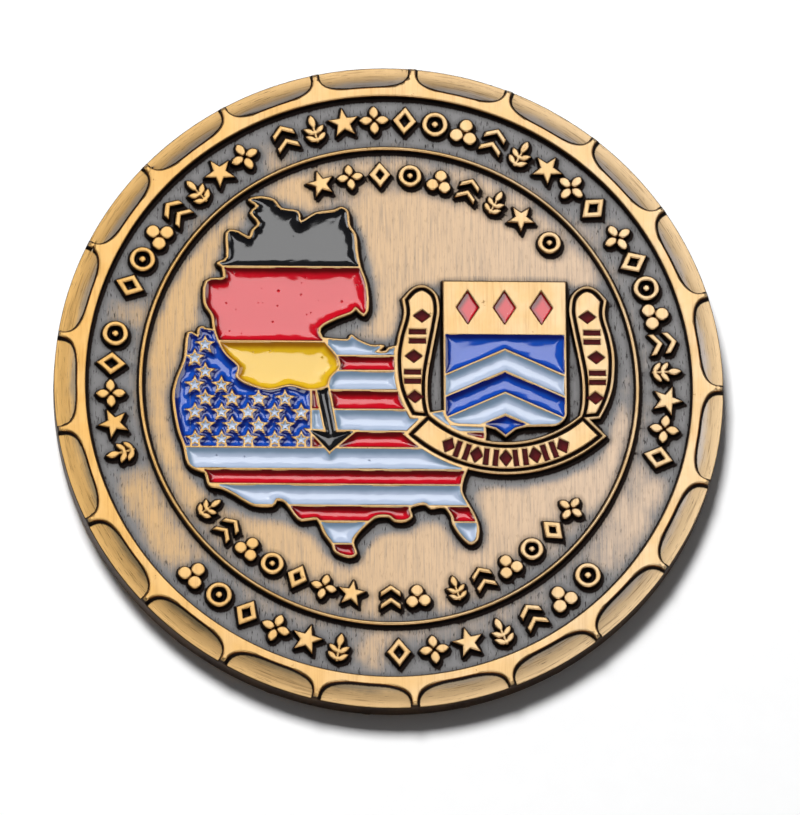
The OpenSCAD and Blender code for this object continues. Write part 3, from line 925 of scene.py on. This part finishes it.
# The grey of the ground: painted shade among the ornaments, and the tone of its darker brushed streaks
DUSK = (0.172, 0.168, 0.168)
PATINA = (0.010, 0.007, 0.006)
SCOOP_GOLD = (0.56, 0.405, 0.235)
SCOOP_GREY = (0.55, 0.48, 0.43)
SCOOP_BROWN = (0.20, 0.145, 0.075)
# The side wall's brown, darkened to near-black as painted shade
SIDE_BROWN_AND_SHADE = (0.022, 0.010, 0.004)
# The tint of painted warm light on the coin's left side
WARM_LIGHT_TINT = (1.0, 0.84, 0.50)

# What a scoop's whole depth counts for, against the noise that breaks up its colours
SCOOP_SHARE = 0.85


def polar(p, here):
    """Distance from the coin's axis, and the direction from it as a vector of length 1."""
    flat = p.add("VectorMath", 0, {"operation": "MULTIPLY"}, _0=here, _1=(1.0, 1.0, 0.0))
    radius = p.add("VectorMath", 1, {"operation": "LENGTH"}, _0=flat)
    return radius, p.add("VectorMath", 0, {"operation": "NORMALIZE"}, _0=flat)


def about(p, value, amount):
    """A noise's value as a push either way of zero."""
    return p.math("MULTIPLY", p.math("SUBTRACT", value, 0.5), amount)


def warm_light_tinted(p, here, colour):
    """Painted warm light: the colour is tinted warmer towards the coin's left edge, as under a warm
    lamp on that side.
    """
    west = p.ramp(p.add("SeparateXYZ", 0, Vector=here), 14.0, -22.0, smooth=False)
    settings = {"data_type": "RGBA", "blend_type": "MULTIPLY"}
    return p.add("Mix", 2, settings, _0=west, _6=colour, _7=WARM_LIGHT_TINT)


def sunk_ground(p, here, radius, crowd, lee, brush, grain, blotch):
    """The field: brushed and tan where it is open, grey among the ornaments as painted shade, more so
    in the outer band,
    and black beside whatever stands up: patina, drawn out on the south-east side as painted shadow."""
    # crowd greys the ground among the ornaments: painted shade
    grey = p.math("ADD", crowd, p.math("ADD", about(p, blotch, 0.30), about(p, brush, 0.16)))
    grey = p.math("ADD", grey, p.ramp(radius, BETWEEN_R - 4.6, BETWEEN_R - 3.6, -0.055, 0.09))
    grey = p.ramp(grey, 0.05, 0.33)
    specks = p.noise(p.place((8.0, 1.5, 1.0)), 1.0, 3.0, 0.6)
    # Open ground, tinted by painted warm light towards the left
    colour = p.mix(grey, warm_light_tinted(p, here, FIELD), DUSK)
    colour = p.mix(p.ramp(brush, 0.42, 0.75, 0.0, 0.5), colour, DUSK)
    speckled = p.math("MULTIPLY", p.ramp(specks, 0.56, 0.68), p.ramp(grey, 0.0, 1.0, 0.18, 0.8))
    colour = p.mix(speckled, colour, PATINA)
    # The patina outline round raised things, drawn out to the south-east as painted shadow, gives a
    # wide dark halo and a black line
    near = p.math("ADD", lee, p.math("ADD", about(p, grain, 0.10), about(p, brush, 0.10)))
    colour = p.mix(p.ramp(near, -0.50, -0.16, 0.0, 0.35), colour, PATINA)
    return p.mix(p.ramp(near, -0.20, -0.10), colour, PATINA)


def raised_top(p, here, inside, brush, blotch, grain):
    """What the polishing wheel reached: gold, with a brown edge and a few spots of tarnish."""
    colour = p.mix(p.ramp(blotch, 0.35, 0.65, 0.0, 0.6), GOLD, WARM_GOLD)
    # Painted warm light towards the coin's left edge
    colour = warm_light_tinted(p, here, colour)
    colour = p.mix(p.ramp(brush, 0.45, 0.8, 0.0, 0.25), colour, GOLD_EDGE)
    spots = p.noise(p.place(), 1.3, 5.0, 0.7)
    colour = p.mix(p.ramp(spots, 0.66, 0.72, 0.0, 0.75), colour, TARNISH)
    edge = p.math("ADD", inside, about(p, grain, 0.03))
    return p.mix(p.ramp(edge, 0.0, 0.045), GOLD_EDGE, colour)


def scoop_surface(p, here, radius, ways, drop, beside, grain, blotch):
    """A scoop: at its inner side paler grey towards the coin's upper right and darker brown towards its
    lower left, which is painted light and shade; gold at its outer side, tinted by painted warm light
    on the left; streaked along the edge."""
    along = p.add("VectorMath", 0, {"operation": "SCALE"}, _0=ways, Scale=7.0)
    across = p.add("CombineXYZ", Z=p.math("MULTIPLY", radius, 9.0))
    turned = p.add("VectorMath", 0, {"operation": "ADD"}, _0=along, _1=across)
    streak = p.noise(turned, 1.0, 4.0, 0.6)
    specks = p.noise(turned, 3.0, 2.0)
    outwards = p.math("MULTIPLY", drop, SCOOP_SHARE / SCOOP_DEPTH)
    outwards = p.math("ADD", outwards, p.math("ADD", about(p, streak, 0.5), about(p, blotch, 0.5)))
    # Painted light and shade: the inner side is paler grey towards the upper right, where light falls,
    # and darker brown towards the lower left
    north_east = p.add("VectorMath", 1, {"operation": "DOT_PRODUCT"}, _0=here, _1=(0.7, 0.7, 0.0))
    painted_light_side = p.ramp(north_east, -20.0, 20.0, smooth=False)
    inner = p.mix(painted_light_side, SCOOP_BROWN, SCOOP_GREY)
    colour = p.mix(p.ramp(outwards, 0.26, 0.70), inner, warm_light_tinted(p, here, SCOOP_GOLD))
    colour = p.mix(p.ramp(streak, 0.52, 0.74, 0.0, 0.6), colour, TARNISH)
    colour = p.mix(p.ramp(specks, 0.63, 0.72, 0.0, 0.8), colour, PATINA)
    # The black line at the inner side: patina, half of it drawn out to the south-east as painted shadow
    near = p.math("ADD", beside, about(p, grain, 0.06))
    return p.mix(p.ramp(near, -0.17, -0.09), colour, PATINA)


def antique_brass():
    """Brass with a dark antique finish left in its corners and rubbed off what stands up, and with
    painted shade: a painted shadow on the south-east side of what is raised, and grey ground among the
    ornaments. Its mesh says how far inside a raised outline each corner is ("inside"), the larger of
    that and the same a little way to its north-west, which paints that shadow, and how much stands up
    round it ("crowd")."""
    p = Paint("antique_brass")
    here = p.place()
    radius, ways = polar(p, here)
    z = p.add("SeparateXYZ", 2, Vector=here)
    drop = p.math("SUBTRACT", COIN_T / 2, p.math("ABSOLUTE", p.math("SUBTRACT", z, COIN_T / 2)))
    inside, lee, crowd = (p.attribute(name) for name in ("inside", "lee", "crowd"))
    brush = p.noise(p.place((9.0, 0.30, 1.0)), 1.0, 5.0, 0.65)
    blotch = p.noise(here, 0.5, 4.0)
    grain = p.noise(here, 9.0, 3.0)
    in_rim = p.ramp(radius, RIM_OUT_R - 0.5, RIM_OUT_R - 0.4)
    struck = p.ramp(drop, 0.24, 0.09)
    scooped = p.ramp(inside, -0.06, 0.0)
    raised = p.math("MULTIPLY", struck, p.math("MAXIMUM", scooped, p.math("SUBTRACT", 1.0, in_rim)))
    colour = sunk_ground(p, here, radius, crowd, lee, brush, grain, blotch)
    # Half the patina outline and half the outline with painted shadow to the south-east: the scoops'
    # black inner line
    beside = p.math("MULTIPLY", p.math("ADD", inside, lee), 0.5)
    scoop = scoop_surface(p, here, radius, ways, drop, beside, grain, blotch)
    colour = p.mix(in_rim, colour, scoop)
    colour = p.mix(raised, colour, raised_top(p, here, inside, brush, blotch, grain))
    # The side wall: brown with some tarnish, painted near-black as shade
    side = p.mix(p.ramp(blotch, 0.35, 0.65, 0.0, 0.3), SIDE_BROWN_AND_SHADE, TARNISH)
    colour = p.mix(p.ramp(radius, COIN_R - 0.05, COIN_R - 0.01), colour, side)
    rough = p.math("ADD", p.ramp(raised, 0.0, 1.0, 0.52, 0.38), about(p, brush, 0.16))
    bump = p.math("ADD", p.math("MULTIPLY", brush, 0.7), p.math("MULTIPLY", grain, 0.3))
    normal = p.add("Bump", Strength=0.5, Distance=0.000015, Height=bump)
    return p.finish(Base_Color=colour, Metallic=1.0, Roughness=rough, Normal=normal)


def enamel(name, deep, pale, gloss):
    """Cured enamel with painted shade: its colour is deeper near the walls, most along the north and
    west sides of its cell.
    """
    p = Paint(name)
    here = p.place()
    cloud = p.noise(here, 0.8, 3.0)
    speck = p.noise(here, 7.0, 2.0)
    # Distance from the cell's walls, read a little to the north-west: near a wall the colour is painted
    # deeper as shade
    shade_clearance = p.math("ADD", p.attribute("shade_clearance"), about(p, cloud, 0.2))
    open_part = p.ramp(shade_clearance, -0.05, 0.35)
    colour = p.mix(open_part, deep, pale)
    bump = p.math("ADD", cloud, p.math("MULTIPLY", speck, 0.15))
    normal = p.add("Bump", Strength=0.12, Distance=0.00001, Height=bump)
    rough = p.ramp(speck, 0.3, 0.8, gloss, gloss * 1.6)
    ior = 1.6 if gloss < 0.3 else 1.2
    return p.finish(Base_Color=colour, Roughness=rough, IOR=ior, Normal=normal)


def floor_material():
    p = Paint("floor_paper")
    fibre = p.noise(p.place(), 0.6, 3.0)
    colour = p.mix(fibre, (0.93, 0.93, 0.93), (0.96, 0.96, 0.96))
    return p.finish(Base_Color=colour, Roughness=0.8)


# ---- Stage and lights ----


def make_floor():
    corners = np.array([[-1.0, -1.0, 0.0], [1.0, -1.0, 0.0], [1.0, 1.0, 0.0], [-1.0, 1.0, 0.0]])
    floor = make_object("floor", corners * FLOOR_HALF, np.array([[0, 1, 2], [0, 2, 3]]))
    floor.data.materials.append(floor_material())


def softbox(name, north, east, size, radiance, mirrored):
    """A flat lamp, at angles from straight up towards the north and the east, facing the coin.
    Either glossy surfaces mirror it, or it lights the matt ones."""
    towards = Vector((math.tan(math.radians(east)), math.tan(math.radians(north)), 1)).normalized()
    data = bpy.data.lights.new(name, "AREA")
    data.shape = "RECTANGLE"
    data.size, data.size_y = (s * MM for s in size)
    data.energy = radiance * math.pi * data.size * data.size_y
    lamp = bpy.data.objects.new(name, data)
    lamp.location = towards * LAMP_DISTANCE * MM
    lamp.rotation_mode = "QUATERNION"
    lamp.rotation_quaternion = Vector((0, 0, 1)).rotation_difference(towards)
    lamp.visible_glossy = mirrored
    lamp.visible_diffuse = not mirrored
    bpy.context.collection.objects.link(lamp)


def make_lights():
    for lamp in MIRRORED_LAMPS:
        softbox(*lamp, mirrored=True)
    softbox(*KEY_LAMP, mirrored=False)
    world = bpy.data.worlds.new("studio")
    world.use_nodes = True
    world.node_tree.nodes["Background"].inputs[0].default_value = SKY
    bpy.context.scene.world = world
    bpy.context.scene.view_settings.view_transform = "Standard"


# ---- Build ----

# Each enamel's colour painted deep as shade beside a wall, its colour in the open, and its roughness
ENAMELS = {
    "black_enamel": ((0.003, 0.003, 0.004), (0.006, 0.006, 0.007), 0.09),
    "red_enamel": ((0.10, 0.0004, 0.0008), (0.52, 0.002, 0.012), 0.09),
    "yellow_enamel": ((0.31, 0.12, 0.0008), (0.68, 0.41, 0.010), 0.09),
    "blue_enamel": ((0.001, 0.006, 0.11), (0.004, 0.06, 0.40), 0.09),
    "white_enamel": ((0.185, 0.265, 0.365), (0.42, 0.49, 0.63), 0.10),
    "dark_red_enamel": ((0.04, 0.001, 0.002), (0.09, 0.002, 0.004), 0.45),
}
PITS = {"upper_map_red": 24, "upper_map_black": 2, "upper_map_yellow": 4, "stripe_07_white": 3}


def make_enamels():
    paints = {slot: enamel(slot, *colours) for slot, colours in ENAMELS.items()}
    wall_z = COIN_T - relief_depth(COIN_T, 1)
    for number, row in enumerate(frame["record"]["subparts"]):
        node, slot = row["node"], row["material_slot"]
        if slot not in paints:
            continue
        pool = make_pool(node, number, wall_z, PITS.get(node, 0))
        pool.data.materials.append(paints[slot])
        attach(pool, "root")


def build():
    make_camera()
    brass = antique_brass()
    coin = make_coin()
    coin.data.materials.append(brass)
    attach(coin, "root")
    make_enamels()
    make_floor()
    make_lights()


build()
